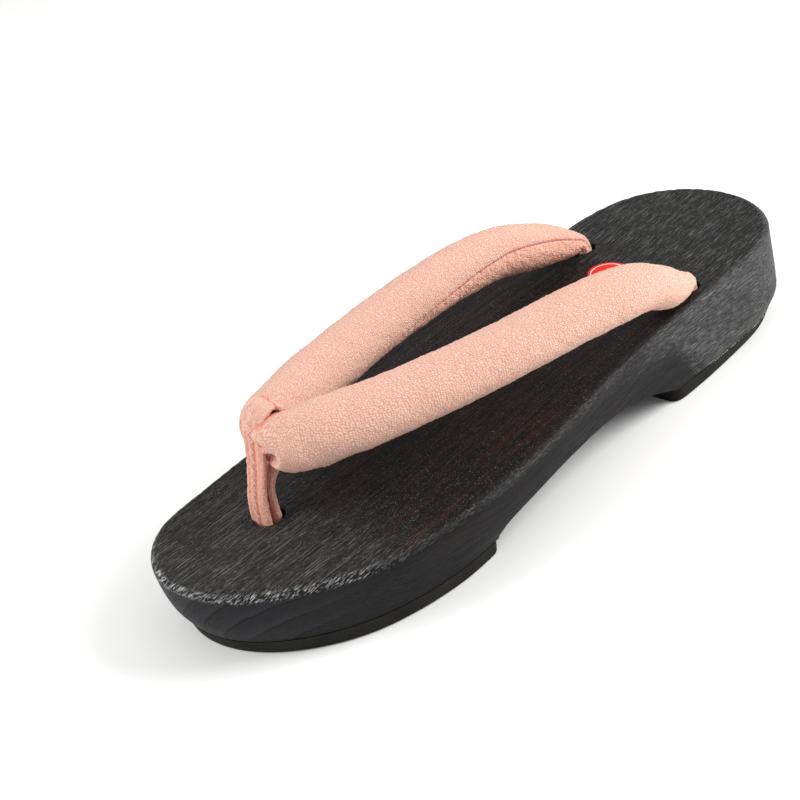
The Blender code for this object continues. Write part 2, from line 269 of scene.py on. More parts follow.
def columns(table):
    """A smooth function for each later column of a table, by its first column."""
    names = list(table)
    return {name: spline(table[names[0]], table[name]) for name in names[1:]}


def smooth_step(low, high, value):
    share = np.clip((value - low) / (high - low), 0.0, 1.0)
    return share * share * (3.0 - 2.0 * share)


def unit(vectors):
    """The same directions, each one long."""
    return vectors / np.maximum(np.linalg.norm(vectors, axis=-1, keepdims=True), 1e-9)


def ripple(points, size, seed, stretch=(1.0, 1.0, 1.0), waves=30):
    """Random smooth relief of one size, mostly from -1 to 1, as summed waves."""
    chance = np.random.default_rng(seed)
    way = unit(chance.normal(size=(waves, 3)))
    way /= (size * chance.uniform(0.7, 1.3, waves))[:, None] * np.asarray(stretch)
    turn = chance.uniform(0.0, 2.0 * math.pi, waves)
    total = np.zeros(points.shape[:-1])
    for direction, start in zip(way, turn):
        total += np.cos(2.0 * math.pi * (points @ direction) + start)
    return total / math.sqrt(2.0 * waves)


PLAN_CURVES = columns(PLAN)
WALL_CURVES = columns(WALL)
ARM_CURVES = {"outer": columns(OUTER_ARM), "inner": columns(INNER_ARM)}
SEAM_CURVES = columns(SEAM)
LOOP_CURVES = columns(LOOP)


def top_height(y):
    """Height of the top face: it rises to the heel, with a low swell under the waist."""
    share = (TOE_END - y) / (TOE_END - HEEL_END)
    swell = np.cos(0.5 * np.pi * np.clip(y / SWELL_REACH, -1.0, 1.0)) ** 2
    return TOE_HEIGHT + HEEL_RISE * share * share + SWELL_HEIGHT * swell


def arch_height(y):
    """Height of the block's underside."""
    front = np.clip((y - ARCH_CROWN) / (ARCH_FRONT - ARCH_CROWN), 0.0, 1.0)
    rear = np.clip((ARCH_CROWN - y) / (ARCH_CROWN - ARCH_REAR), 0.0, 1.0)
    drop = np.where(
        y > ARCH_CROWN,
        ARCH_FRONT_DROP * front ** ARCH_FRONT_POWER + ARCH_LIP * front ** ARCH_LIP_POWER,
        (ARCH_CROWN_HEIGHT - WOOD_BOTTOM) * rear ** ARCH_REAR_POWER,
    )
    inside = (y < ARCH_FRONT) & (y > ARCH_REAR)
    return np.where(inside, ARCH_CROWN_HEIGHT - drop, WOOD_BOTTOM)


def stations(end_steps, middle_steps):
    """Places along the sandal, closer together where the ends round off."""
    turn = np.sin(0.5 * math.pi * np.arange(1, end_steps + 1) / end_steps)
    heel = HEEL_ROUND_FROM + (HEEL_END - HEEL_ROUND_FROM) * turn[::-1]
    middle = np.linspace(HEEL_ROUND_FROM, TOE_ROUND_FROM, middle_steps + 1)
    toe = TOE_ROUND_FROM + (TOE_END - TOE_ROUND_FROM) * turn
    edges = [end + step for end in (ARCH_FRONT, ARCH_REAR) for step in ARCH_END_STEPS]
    return np.unique(np.concatenate([heel, middle, toe, edges]))


def half_width(y):
    toe = np.clip((y - TOE_ROUND_FROM) / (TOE_END - TOE_ROUND_FROM), 0.0, 1.0)
    heel = np.clip((HEEL_ROUND_FROM - y) / (HEEL_ROUND_FROM - HEEL_END), 0.0, 1.0)
    share = np.sqrt(1.0 - toe ** TOE_ROUND_POWER) * np.sqrt(1.0 - heel ** HEEL_ROUND_POWER)
    return 0.5 * PLAN_CURVES["width"](y) * share


def side_lines(y):
    """The outer and inner edge in plan, each with its outward directions."""
    centre = PLAN_CURVES["centre"](y)
    half = half_width(y)
    outer = np.column_stack([centre - half, y])
    inner = np.column_stack([centre + half, y])
    ring = np.concatenate([outer, inner[::-1]])
    ahead = np.roll(ring, -1, axis=0) - np.roll(ring, 1, axis=0)
    out = unit(np.column_stack([-ahead[:, 1], ahead[:, 0]]))
    outer_out = out[:len(y)]
    inner_out = out[len(y):][::-1]
    for place, way in ((0, -1.0), (-1, 1.0)):
        if half[place] < 0.5:
            outer_out[place] = inner_out[place] = (0.0, way)
    return outer, outer_out, inner, inner_out


def wall_inset(y, z, rim):
    """How far the wall stands inside the widest line, smooth in height."""
    foot = WALL_CURVES["foot"](y)
    bulge = WALL_CURVES["bulge"](y)
    high = top_height(y) - rim
    low_slope = (bulge - foot) / (BULGE_HEIGHT - WOOD_BOTTOM)
    high_slope = -bulge / (high - BULGE_HEIGHT)
    middle = np.where(low_slope * high_slope > 0.0, 0.5 * (low_slope + high_slope), 0.0)

    def arc(from_z, to_z, start, end, first, last):
        s = np.clip((z - from_z) / (to_z - from_z), 0.0, 1.0)
        h = to_z - from_z
        return (
            start * (1.0 + 2.0 * s) * (1.0 - s) ** 2 + first * h * s * (1.0 - s) ** 2
            + end * s * s * (3.0 - 2.0 * s) + last * h * s * s * (s - 1.0)
        )

    lower = arc(WOOD_BOTTOM, BULGE_HEIGHT, foot, bulge, low_slope, middle)
    upper = arc(BULGE_HEIGHT, high, bulge, 0.0 * bulge, middle, 0.5 * high_slope)
    return np.where(z < BULGE_HEIGHT, lower, upper)


def add_object(name, data):
    """A new object of the scene that holds the mesh, camera or light."""
    made = bpy.data.objects.new(name, data)
    bpy.context.scene.collection.objects.link(made)
    return made


def loft(name, sections, attributes=None, ends=(False, False), closed_along=False):
    """A closed mesh through equal closed sections, an array of (n, p, 3) mm."""
    rows, around, _ = sections.shape
    index = np.arange(rows * around).reshape(rows, around)
    last = rows if closed_along else rows - 1
    lower = index[:last]
    upper = np.roll(index, -1, axis=0)[:last]
    quads = np.stack(
        [lower, np.roll(lower, -1, axis=1), np.roll(upper, -1, axis=1), upper], axis=-1
    ).reshape(-1, 4)
    faces = quads.tolist()
    if ends[0]:
        faces.append(index[0][::-1].tolist())
    if ends[1]:
        faces.append(index[-1].tolist())
    mesh = bpy.data.meshes.new(name)
    mesh.from_pydata((sections.reshape(-1, 3) * MM).tolist(), [], faces)
    for label, values in (attributes or {}).items():
        vector = values.ndim == 3
        layer = mesh.attributes.new(label, "FLOAT_VECTOR" if vector else "FLOAT", "POINT")
        layer.data.foreach_set("vector" if vector else "value", values.reshape(-1).astype(np.float32))
    clean = bmesh.new()
    clean.from_mesh(mesh)
    bmesh.ops.remove_doubles(clean, verts=clean.verts, dist=0.004 * MM)
    bmesh.ops.dissolve_degenerate(clean, edges=clean.edges, dist=0.001 * MM)
    bmesh.ops.recalc_face_normals(clean, faces=clean.faces)
    clean.to_mesh(mesh)
    clean.free()
    mesh.shade_smooth()
    return add_object(name, mesh)


def cut_away(piece, cutter):
    """Takes the cutter's room out of the piece for good."""
    modifier = piece.modifiers.new("Room", "BOOLEAN")
    modifier.operation = "DIFFERENCE"
    modifier.solver = "EXACT"
    modifier.object = cutter
    make_plain(piece)
    bpy.data.objects.remove(cutter, do_unlink=True)


def make_plain(piece):
    """Replaces the piece's mesh by what its modifiers make of it."""
    bpy.context.view_layer.update()
    graph = bpy.context.evaluated_depsgraph_get()
    mesh = bpy.data.meshes.new_from_object(piece.evaluated_get(graph))
    piece.modifiers.clear()
    piece.data = mesh


def finish_piece(piece, material, slot, *nodes, fill=None):
    """Gives a piece its material, and says what it rides on and stands for."""
    if not piece.data.polygons:
        raise RuntimeError(piece.name + " came out empty")
    piece.data.materials.clear()
    piece.data.materials.append(material)
    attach(piece, "root")
    if nodes:
        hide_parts(*nodes)


def sharpen(piece, degrees):
    piece.data.set_sharp_from_angle(angle=math.radians(degrees))


def between(left, right, columns_across):
    """Points across the top and the underside, between two walls."""
    part = (np.arange(1, columns_across) / columns_across)[None, :, None]
    top = left[:, -1:, :] * (1.0 - part) + right[:, -1:, :] * part
    under = right[:, :1, :] * (1.0 - part) + left[:, :1, :] * part
    return top, under


def body_sections(y, rim, levels, columns_across, rim_steps):
    """Closed sections of the wooden block, and where each point lies."""
    outer, outer_out, inner, inner_out = side_lines(y)
    bottom = arch_height(y)
    share = np.linspace(0.0, 1.0, levels)[None, :]
    top_of_wall = top_height(y) - rim
    z = bottom[:, None] + (top_of_wall - bottom)[:, None] * share
    inset = wall_inset(y[:, None], z, rim[:, None])

    def wall(edge, out):
        flat = edge[:, None, :] - out[:, None, :] * inset[..., None]
        side = np.concatenate([flat, z[..., None]], axis=-1)
        bend = 0.5 * math.pi * np.arange(1, rim_steps + 1) / rim_steps
        inward = rim[:, None] * (1.0 - np.cos(bend))
        drop = rim[:, None] * (1.0 - np.sin(bend))
        curl = edge[:, None, :] - out[:, None, :] * inward[..., None]
        height = top_height(curl[..., 1]) - drop
        return np.concatenate([side, np.concatenate([curl, height[..., None]], axis=-1)], axis=1)

    left = wall(outer, outer_out)
    right = wall(inner, inner_out)
    top, under = between(left, right, columns_across)
    top[..., 2] = top_height(top[..., 1])
    parts = ((left, SIDE), (top, TOP), (right[:, ::-1], SIDE), (under, UNDERSIDE))
    kinds = np.concatenate([np.full(part.shape[1], kind) for part, kind in parts])
    return np.concatenate([part for part, _ in parts], axis=1), kinds


def distance_inside(points, y):
    """How far points in plan lie inside the widest line, in mm."""
    outer, _, inner, _ = side_lines(y)
    ring = np.concatenate([outer, inner])
    flat = points.reshape(-1, 2)
    result = np.empty(len(flat))
    block = 4000
    for start in range(0, len(flat), block):
        part = flat[start:start + block]
        gap = part[:, None, :] - ring[None, :, :]
        result[start:start + block] = np.sqrt((gap ** 2).sum(-1).min(1))
    return result.reshape(points.shape[:-1])


def surface_normals(sections):
    """Outward directions of a grid of closed sections."""
    along = np.gradient(sections, axis=0)
    around = np.roll(sections, -1, axis=1) - np.roll(sections, 1, axis=1)
    out = unit(np.cross(along, around))
    middle = sections.mean(axis=1, keepdims=True)
    if ((sections - middle) * out).sum() < 0.0:
        out = -out
    return out


# Materials. Patterns are scaled in millimetres on the object's own coordinates.

def new_material(name):
    """An empty material, a function that adds nodes to it, its shader, and places in mm."""
    material = bpy.data.materials.new(name)
    material.use_nodes = True
    tree = material.node_tree
    tree.nodes.clear()
    add = partial(add_node, tree)
    surface = add("ShaderNodeBsdfPrincipled")
    add("ShaderNodeOutputMaterial", {"Surface": surface})
    place = add("ShaderNodeTexCoord", output="Object")
    mm = add(VECTOR_MATH, {0: place, "Scale": 1.0 / MM}, operation="SCALE")
    return material, add, surface.node, mm


# Marks of the wood: stretch across, along and up, scale in 1/mm, detail and roughness
WOOD_GRAIN = (
    ((1.0, 0.035, 1.0), 1.25, 3.0, 0.62),  # fibres 0.8 mm apart, about 20 mm long
    ((1.0, 0.018, 0.8), 3.6, 3.0, 0.65),  # hairlines of 0.3 mm, about 15 mm long
    ((1.0, 0.10, 0.8), 4.2, 1.0, 0.6),  # hairlines of 2 mm, at the toe
    ((1.0, 0.02, 1.0), 0.45, 2.0, 0.5),  # bands of early and late wood, 2 mm apart
    ((1.0, 0.10, 1.0), 4.4, 1.0, 0.6),  # dashes of 0.2 by 2 mm that the wire brush leaves
    ((1.0, 0.028, 1.0), 4.2, 3.0, 0.65),  # its scratches, 8 mm long
    ((1.0, 0.4, 1.0), 0.32, 2.0, 0.55),  # patches of 3 by 8 mm, brushed more or less
    ((1.0, 0.7, 1.0), 3.2, 1.0, 0.6),  # pale pores of 0.3 mm
)


def charred_wood(settings):
    """Paulownia, charred and wire-brushed: near-black, with raised grain lines
    that catch the light, brown streaks of the tree's core and an ashen worn edge.
    The walls, and the middle under the straps, are painted darker as shade,
    and the worn edge carries painted glints."""
    material, add, shader, mm = new_material("charred_brushed_paulownia")
    top, rim, brushed, heart, toe, toe_part = (
        add(ATTRIBUTE, output="Fac", attribute_name=name)
        for name in ("top_face", "rim", "brushed", "heartwood_and_painted_shade", "end_grain", "toe_part"))
    fibre, hair, short, band, dash, scratch, patch, dots = (
        add(NOISE, {
            "Vector": add(MAPPING, {"Vector": mm, "Scale": stretch}),
            "Scale": scale, "Detail": detail, "Roughness": rough})
        for stretch, scale, detail, rough in WOOD_GRAIN)
    # growth rings, about 6 mm apart, seen on the toe's end grain
    rings = add("ShaderNodeTexWave", {
        "Vector": add(MAPPING, {"Vector": mm, "Location": (38.0, 0.0, 26.0), "Scale": (1.0, 0.04, 1.0)}),
        "Scale": 0.050, "Distortion": 2.0, "Detail": 2.0, "Detail Scale": 0.9},
        "Fac", wave_type="RINGS", rings_direction="Y", wave_profile="SAW")
    ring_tone = add(MIX, {0: add(RANGE, (rings, 0.04, 0.14)), 6: "#020202", 7: "#26262a"}, 2, **RGBA)
    ring_tone = add(MIX, {0: add(RANGE, (rings, 0.14, 0.6)), 6: ring_tone, 7: "#1b1b1e"}, 2, **RGBA)
    ring_line = add(MATH, (add(RANGE, (rings, 0.12, 0.0)), toe), **TIMES)
    streak = add(MATH, (add(RANGE, (band, 0.53, 0.58)), heart), **TIMES)
    # lines where the char is brushed off and the fibre shows grey
    toe_lines = add(MATH, (add(RANGE, (short, 0.61, 0.69)), toe_part), **TIMES)
    line = add(MATH, (add(RANGE, (hair, 0.54, 0.66)), toe_lines), **PLUS)
    line = add(MATH, (line, top), **TIMES)
    line = add(MATH, (line, add(RANGE, (patch, 0.3, 0.65, 0.55, 1.0))), **TIMES)
    # the pale lines thin out in the middle, partly as painted shade under the straps
    pale = add(MATH, (line, add(RANGE, (heart, 0.0, 1.0, 0.62, 0.08))), **TIMES)
    speck = add(MATH, (add(RANGE, (dots, 0.66, 0.72)), top), **TIMES)
    # a fainter brushing leaves fewer flecks, not paler ones
    reach = add(RANGE, (brushed, 0.0, 1.0, -0.02, 0.10))
    worn = 0.0
    for mark, low, high, share in ((dash, 0.64, 0.70, 0.35), (scratch, 0.62, 0.69, 0.7)):
        shown = add(RANGE, (add(MATH, (mark, reach), **PLUS), low, high))
        worn = add(MATH, (shown, share, worn), **TIMES_PLUS)
    worn = add(MATH, (worn, add(RANGE, (patch, 0.34, 0.58, 0.4, 1.0))), **TIMES)
    flecks = add(MATH, (worn, add(RANGE, (brushed, 0.08, 0.5))), **TIMES)
    # short bright strokes on the worn edge: torn fibre, with painted glints of light on it
    lean = add(MAPPING, {"Vector": mm, "Rotation": (0.0, 0.7, 0.0)})
    torn = add(NOISE, {
        "Vector": add(MAPPING, {"Vector": lean, "Scale": (1.0, 0.1, 0.16)}),
        "Scale": 4.8, "Detail": 1.0, "Roughness": 0.6})
    torn_fibre_glint = add(MATH, (add(RANGE, (torn, 0.53, 0.61)), rim), **TIMES)
    torn_fibre_glint = add(MATH, (torn_fibre_glint, add(RANGE, (patch, 0.36, 0.56, 0.35, 1.0))), **TIMES)

    # the walls are painted darker than the top face, as painted shade
    dark = add(MIX, {0: top, 6: "#090909", 7: "#121111"}, 2, **RGBA)
    base = add(MIX, {0: top, 6: "#111113", 7: settings.char}, 2, **RGBA)
    tint = add(MIX, {0: add(RANGE, (fibre, 0.30, 0.70)), 6: dark, 7: base}, 2, **RGBA)
    # what lies over the char, one over another: its share and its colour
    for share, tone_on_top in (
        (add(RANGE, (band, 0.42, 0.62, 0.0, 0.5)), "#151413"),
        # painted shade: the middle of the block, under the straps, darkened to near-black
        (add(MATH, (heart, 0.88), **TIMES), "#0b0807"),
        (add(MATH, (streak, 0.75), **TIMES), settings.heart),
        (pale, settings.ash),
        (add(MATH, (speck, 0.5), **TIMES), "#908f8c"),
        (add(MATH, (brushed, 0.62), **TIMES), "#343436"),
        (flecks, settings.ash),
        (add(MATH, (toe, 0.85), **TIMES), ring_tone),
        # painted glints on the worn edge's torn fibre
        (torn_fibre_glint, "#bdbcba"),
    ):
        tint = add(MIX, {0: share, 6: tint, 7: tone_on_top}, 2, **RGBA)

    height = add(MATH, (dots, 0.25, add(MATH, (fibre, 0.9), **TIMES)), **TIMES_PLUS)
    height = add(MATH, (height, add(RANGE, (toe, 0.0, 1.0, 1.0, 0.12))), **TIMES)
    for raised, share in ((flecks, 0.8), (torn_fibre_glint, 0.9), (ring_line, -0.25)):
        height = add(MATH, (raised, share, height), **TIMES_PLUS)
    fill(shader, {
        "Base Color": tint,
        "Roughness": add(RANGE, (fibre, 0.3, 0.75, 0.62, 0.42)),
        "Specular IOR Level": 0.13,
        "Normal": add(BUMP, {"Height": height, "Strength": 0.9, "Distance": 0.28 * MM})})
    return material


def sole_rubber(settings):
    """Moulded sole rubber: dull black with an olive tint and a fine dusty grain."""
    material, add, shader, mm = new_material("moulded_sole_rubber")
    dust = add(NOISE, {"Vector": mm, "Scale": 1.6, "Detail": 3.0})
    patch = add(NOISE, {"Vector": mm, "Scale": 0.12, "Detail": 2.0})
    dusty = add(RANGE, (add(MATH, (dust, patch), **TIMES), 0.12, 0.42))
    fill(shader, {
        "Base Color": add(MIX, {0: dusty, 6: "#141310", 7: settings.rubber}, 2, **RGBA),
        "Roughness": 0.75,
        "Specular IOR Level": 0.15,
        "Normal": add(BUMP, {"Height": dust, "Strength": 0.35, "Distance": 0.15 * MM})})
    return material


def crepe(name, high, low, deep, pebble, gathered):
    """Crinkled crepe: pebbles under a millimetre, painted lighter on top as highlight
    and coral between as painted shade, the painted shade deeper where the cloth is
    folded or sewn, and lighter where marked pale: painted light on the arms' lower
    side, and a lighter hood on the loop."""
    material, add, shader, mm = new_material(name)
    wobble = add(NOISE, {"Vector": mm, "Scale": 0.35, "Detail": 2.0}, 1)
    shift = add(VECTOR_MATH, (wobble, (0.5, 0.5, 0.5)), operation="SUBTRACT")
    push = add(VECTOR_MATH, {0: shift, "Scale": 1.6}, operation="SCALE")
    # the cloth runs along the tube, and lies flat over its rounded front end
    along_tube = add(ATTRIBUTE, output="Vector", attribute_name="cloth")
    over_front = add(MAPPING, {"Vector": mm, "Rotation": (0.5 * math.pi, 0.0, 0.0)})
    on_tube, on_front = (
        add("ShaderNodeTexVoronoi", {
            "Vector": add(VECTOR_MATH, (cloth, push), **PLUS), "Scale": MM / pebble, "Randomness": 0.6},
            feature="F1", voronoi_dimensions="2D")
        for cloth in (along_tube, over_front))
    nose, pale, painted_crease_shade = (
        add(ATTRIBUTE, output="Fac", attribute_name=mark) for mark in ("nose", "pale", "painted_crease_shade"))
    bead = add(MIX, {0: nose, 2: on_tube, 3: on_front}, data_type="FLOAT")
    dome = add(RANGE, (bead, 0.54, 0.10), interpolation_type="SMOOTHSTEP")
    # single threads of 0.3 mm, and tired patches of about 9 mm
    thread = add(NOISE, {"Vector": mm, "Scale": 3.4, "Detail": 2.0})
    broad = add(NOISE, {"Vector": mm, "Scale": 0.11, "Detail": 2.0})
    relief = add(MATH, (thread, 0.35, dome), **TIMES_PLUS)
    # pebble tops painted lighter and valleys darker: painted highlight and painted shade
    tint = add(MIX, {0: add(RANGE, (relief, -0.1, 1.15)), 6: low, 7: high}, 2, **RGBA)
    # over it: random tired patches, painted light where marked pale, painted shade in folds and seams
    for share, tone_on_top in (
        (add(RANGE, (broad, 0.35, 0.65, 0.0, 0.12)), low), (pale, gathered), (painted_crease_shade, deep),
    ):
        tint = add(MIX, {0: share, 6: tint, 7: tone_on_top}, 2, **RGBA)
    # thin cloth over wadding: a little light comes through warm
    fill(shader, {
        "Base Color": tint,
        "Roughness": 0.82,
        "Specular IOR Level": 0.15,
        "Subsurface Weight": 0.35,
        "Subsurface Radius": (1.0, 0.45, 0.3),
        "Subsurface Scale": 1.5 * MM,
        "Normal": add(BUMP, {"Height": relief, "Strength": 0.85, "Distance": 0.21 * MM})})
    return material


def plain_material(name, rgb, roughness, grain):
    """A thin printed or sewn thing: one colour, broken by a fine fleck."""
    material, add, shader, mm = new_material(name)
    fleck = add(NOISE, {"Vector": mm, "Scale": grain, "Detail": 2.0})
    dark = [0.55 * value for value in rgb]
    share = add(RANGE, (fleck, 0.3, 0.7, 0.0, 0.25))
    fill(shader, {
        "Base Color": add(MIX, {0: share, 6: rgb, 7: dark}, 2, **RGBA),
        "Roughness": roughness,
        "Specular IOR Level": 0.2})
    return material


# Rows of small repeated things along a path

def row_tree(name):
    """Node group that sets small solids along a path: stitches or specks."""
    tree = bpy.data.node_groups.new(name, "GeometryNodeTree")
    add = partial(add_node, tree)
    sockets = {}
    for label, kind in (
        ("Path", "Geometry"), ("Spacing", "Float"), ("Length", "Float"),
        ("Radius", "Float"), ("Unevenness", "Float"), ("Material", "Material"),
    ):
        sockets[label] = tree.interface.new_socket(
            label, in_out="INPUT", socket_type="NodeSocket" + kind).identifier
    tree.interface.new_socket("Result", in_out="OUTPUT", socket_type="NodeSocketGeometry")
    given = add("NodeGroupInput").node.outputs
    line = add("GeometryNodeMeshToCurve", {"Mesh": given["Path"]})
    points = add(
        "GeometryNodeCurveToPoints", {"Curve": line, "Length": given["Spacing"]}, mode="LENGTH").node.outputs
    ball = add("GeometryNodeMeshUVSphere", {"Segments": 8, "Rings": 6, "Radius": 1.0})
    size = add("ShaderNodeCombineXYZ", (given["Radius"], given["Radius"], given["Length"]))
    least = add(MATH, (1.0, given["Unevenness"]), operation="SUBTRACT")
    most = add(MATH, (1.0, given["Unevenness"]), **PLUS)
    chance = add("FunctionNodeRandomValue", {2: least, 3: most, "Seed": 7}, 1, data_type="FLOAT")
    placed = add("GeometryNodeInstanceOnPoints", {
        "Points": points["Points"], "Instance": ball, "Rotation": points["Rotation"],
        "Scale": add(VECTOR_MATH, {0: size, "Scale": chance}, operation="SCALE")})
    real = add("GeometryNodeRealizeInstances", {"Geometry": placed})
    shaded = add("GeometryNodeSetMaterial", {"Geometry": real, "Material": given["Material"]})
    add("NodeGroupOutput", {0: shaded})
    return tree, sockets


def set_along(name, paths, material, spacing, length, radius, unevenness=0.0):
    """A piece of small solids set along paths, each an array of points in mm."""
    links = []
    start = 0
    for path in paths:
        links += [(start + i, start + i + 1) for i in range(len(path) - 1)]
        start += len(path)
    mesh = bpy.data.meshes.new(name + "_path")
    mesh.from_pydata((np.concatenate(paths) * MM).tolist(), links, [])
    piece = add_object(name, mesh)
    tree, sockets = row_tree(name + "_nodes")
    modifier = piece.modifiers.new("Row", "NODES")
    modifier.node_group = tree
    for label, value in (
        ("Spacing", spacing * MM), ("Length", length * MM), ("Radius", radius * MM),
        ("Unevenness", unevenness), ("Material", material),
    ):
        modifier[sockets[label]] = value
    make_plain(piece)
    piece.data.shade_smooth()
    return piece


# Settings that a user would change

def tone(name, text, value):
    return FloatVectorProperty(
        name=name, description=text, default=linear(value), min=0.0, max=1.0, subtype="COLOR")


def length(name, text, value):
    return FloatProperty(name=name, description=text, default=value * MM, min=0.0, unit="LENGTH")


class WoodSettings(bpy.types.PropertyGroup):
    toe_rim: length("Toe rim radius", "Rounding of the top edge at the toe", 2.4)
    heel_rim: length("Heel rim radius", "Rounding of the top edge at the heel", 1.3)
    wear: length("Rim wear", "How deep the brush has worn the top edge", 0.17)
    char: tone("Char", "Colour of the charred surface", "#201f1f")
    ash: tone("Ash", "Colour of the brushed, ashen fibre", "#807f7d")
    heart: tone("Heartwood", "Colour of the brown streaks", "#25120f")


class RubberSettings(bpy.types.PropertyGroup):
    edge: length("Edge rounding", "Rounding of the pads' lower edge", 0.9)
    rubber: tone("Rubber", "Colour of the sole rubber", "#24231f")
    glue: tone("Glue", "Colour of the glue specks in the joint", "#b5b09a")


class StrapSettings(bpy.types.PropertyGroup):
    pebble: length("Pebble size", "Distance between the crepe's pebbles", 0.80)
    relief: length("Crepe relief", "Height of the crepe's crinkle", 0.11)
    # tops and valleys of the pebbles: painted highlight and painted shade
    high: tone("Crepe", "Colour on top of the pebbles", "#e2c7ba")
    low: tone("Crepe valleys", "Colour between the pebbles", "#cf8f78")
    # colour of the seam thread, and of the painted shade in folds and seams
    seam: tone("Seam", "Colour inside the seam", "#d8583e")
    # painted light on the cloth below the seam, the arm's lower side
    under: tone("Gathered cloth", "Colour of the cloth gathered below the seam", "#f3b39c")


class LoopSettings(bpy.types.PropertyGroup):
    thickness: length("Strip thickness", "Thickness of the folded strip", 2.3)
    rib: length("Rib depth", "Depth of the folds along the strip", 0.55)
    # tops and valleys of the folds: painted highlight and painted shade
    high: tone("Strip", "Colour on top of the folds", "#e4bbab")
    low: tone("Strip valleys", "Colour between the folds", "#d8937e")
    thread: tone("Thread", "Colour of the pale sewing thread", "#f4dcd2")


class StickerSettings(bpy.types.PropertyGroup):
    across: length("Width", "Width of the oval sticker", 14.5)
    deep: length("Depth", "Front to back size of the sticker", 13.0)
    red: tone("Red", "Colour of the sticker", "#dc2115")


class StageSettings(bpy.types.PropertyGroup):
    floor: tone("Floor", "Colour of the studio floor", "#fbfbfa")
    key: FloatProperty(
        name="Key light", description="Power of the light over the toe", default=6.5, unit="POWER")
    side: FloatProperty(
        name="Side light", description="Power of the light by the heel", default=12.8, unit="POWER")
    sky: FloatProperty(name="Surround", description="Strength of the white surround", default=0.64, min=0.0)


# Operators

class GETA_OT_wood_block(bpy.types.Operator):
    """Makes the charred wooden block with its arch, worn rim and strap holes"""
    bl_idname = "geta.wood_block"
    bl_label = "Wooden block"

    def execute(self, context):
        settings = context.scene.geta_wood
        y = stations(100, 170)
        share = smooth_step(-60.0, 60.0, y)
        rim = (settings.heel_rim + (settings.toe_rim - settings.heel_rim) * share) / MM
        sections, kinds = body_sections(y, rim, levels=22, columns_across=44, rim_steps=6)
        inside = distance_inside(sections[..., :2], y)
        depth = top_height(sections[..., 1]) - sections[..., 2]
        kinds = np.broadcast_to(kinds, inside.shape)
        on_wall = kinds == SIDE
        on_top = kinds == TOP
        from_rim = np.where(on_top, inside, np.where(on_wall, depth, 60.0))
        out = surface_normals(sections)
        along = sections[..., 1]
        toe_end = smooth_step(48.0, 62.0, along)
        facing = smooth_step(0.35, 0.75, out[..., 1])
        # the rim is worn in chips of 1 to 2 mm; the waist and heel are brushed in pits
        chips = ripple(sections, 1.7, 3, (1.0, 2.2, 0.8)) + 0.6 * ripple(sections, 0.9, 4)
        near_rim = np.exp(-(np.maximum(from_rim - 0.6, 0.0) / 1.3) ** 2)
        chip_share = 0.3 + 0.7 * smooth_step(0.0, 60.0, along)
        pits = ripple(sections, 1.9, 5, (1.0, 3.0, 1.0))
        band_depth = 3.0 + 9.0 * smooth_step(15.0, -35.0, along) + 40.0 * smooth_step(-40.0, -75.0, along)
        band = np.where(on_wall, 1.0 - 0.75 * smooth_step(0.5 * band_depth, band_depth, depth), 0.0)
        to_heel = 0.3 + 0.7 * smooth_step(-15.0, -60.0, along) + 0.3 * smooth_step(-80.0, -105.0, along)
        band *= (1.0 - toe_end) * to_heel
        lanes = ripple(sections, 4.2, 6, (1.0, 14.0, 1.0))
        lift = -settings.wear / MM * chip_share * near_rim * np.clip(0.35 + chips, 0.0, 1.4)
        lift += -0.12 * band * np.clip(pits, 0.0, 1.2)
        lift += np.where(on_top, 0.07 * lanes, 0.0)
        sections = sections + out * lift[..., None]
        chipped = smooth_step(0.02, 0.25, depth) * smooth_step(2.6, 1.6, depth) * (kinds != UNDERSIDE)
        marks = {
            # the top face and the band just under its edge; the walls outside it get painted shade
            "top_face": np.where(on_top, 1.0, on_wall * smooth_step(1.0, 0.2, depth)),
            # where the worn edge gets torn fibre and painted glints, mostly at the toe
            "rim": chipped * (0.08 + 0.92 * smooth_step(76.0, 108.0, along)),
            "brushed": band,
            # the middle of the block: its brown streaks, and painted shade under the straps
            "heartwood_and_painted_shade": smooth_step(-85.0, -45.0, along) * smooth_step(98.0, 60.0, along)
            * np.where(on_top, 1.0, 0.25 + 0.75 * smooth_step(1.2, 0.0, depth)),
            "toe_part": smooth_step(-40.0, 60.0, along),
            "end_grain": np.where(on_wall, facing, 0.0),
        }
        block = loft("wood_block", sections, marks)
        for name, (place, radius, bottom) in HOLES.items():
            bpy.ops.mesh.primitive_cylinder_add(
                vertices=64, radius=radius * MM, depth=60.0 * MM,
                location=(place[0] * MM, place[1] * MM, (bottom + 30.0) * MM))
            cut_away(block, context.object)
        block.data.shade_smooth()
        sharpen(block, 40.0)
        finish_piece(block, charred_wood(settings), "charred_wood", "wood_base")
        return {"FINISHED"}


